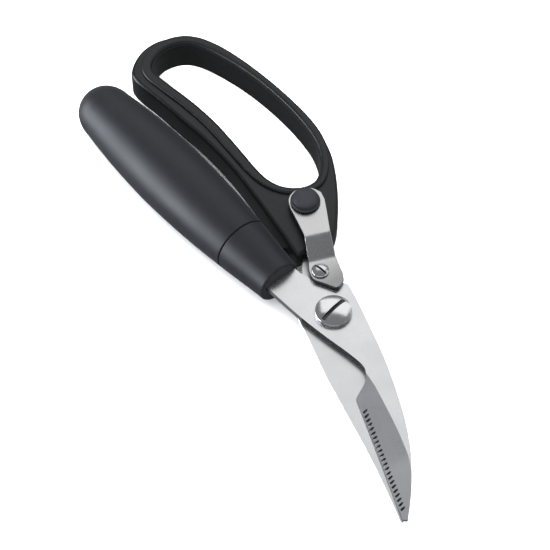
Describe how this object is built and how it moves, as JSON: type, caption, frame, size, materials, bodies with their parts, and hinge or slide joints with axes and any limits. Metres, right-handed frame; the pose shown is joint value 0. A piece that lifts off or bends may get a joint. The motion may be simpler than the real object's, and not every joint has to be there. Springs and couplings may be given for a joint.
{
  "type": "poultry shears",
  "caption": "Poultry shears with a barrel grip, a loop handle, curved blades, a screw pivot and a swinging catch.",
  "frame": {"origin": "on the pivot axis, at the centre of the pivot nut's flat outer face on the back", "axes": "+X towards the blade tips, +Y towards the loop handle, +Z from the back to the front, where the front blade, the pivot screw's slotted head and the catch are"},
  "size_m": [0.2423, 0.078, 0.0292],
  "materials": {
    "blade_steel": "satin ground stainless steel",
    "catch_steel": "satin pressed stainless steel",
    "screw_steel": "polished stainless steel",
    "spring_steel": "plain spring steel",
    "grip_rubber": "matte soft-touch charcoal",
    "core_nylon": "plain moulded nylon",
    "handle_plastic": "fine satin moulded black plastic",
    "knob_plastic": "satin black plastic"
  },
  "bodies": {
    "barrel_side": {"front_blade": "blade_steel", "pivot_screw": "screw_steel", "pivot_nut": "screw_steel", "pivot_washer": "screw_steel", "pivot_spring_washer": "spring_steel", "grip_ferrule": "grip_rubber", "grip_sleeve": "grip_rubber", "grip_core": "core_nylon", "grip_pin_1": "screw_steel", "grip_pin_2": "screw_steel"},
    "loop_side": {"rear_blade": "blade_steel", "loop_handle": "handle_plastic", "opening_spring": "spring_steel", "catch_screw": "screw_steel", "catch_bush": "screw_steel", "catch_spring_washer": "spring_steel"},
    "catch": {"catch_lever": "catch_steel", "catch_knob": "knob_plastic", "catch_knob_stud": "screw_steel"}
  },
  "joints": [
    {"name": "blade_pivot", "type": "hinge", "parent": "barrel_side", "child": "loop_side", "pos_m": [0, 0, 0.005], "axis": [0, 0, -1], "range_deg": [0, 28], "deforming": ["opening_spring"]},
    {"name": "catch_swing", "type": "hinge", "parent": "loop_side", "child": "catch", "pos_m": [-0.0178, 0.0062, 0.009], "axis": [0, 0, 1], "range_deg": [0, 14]}
  ]
}
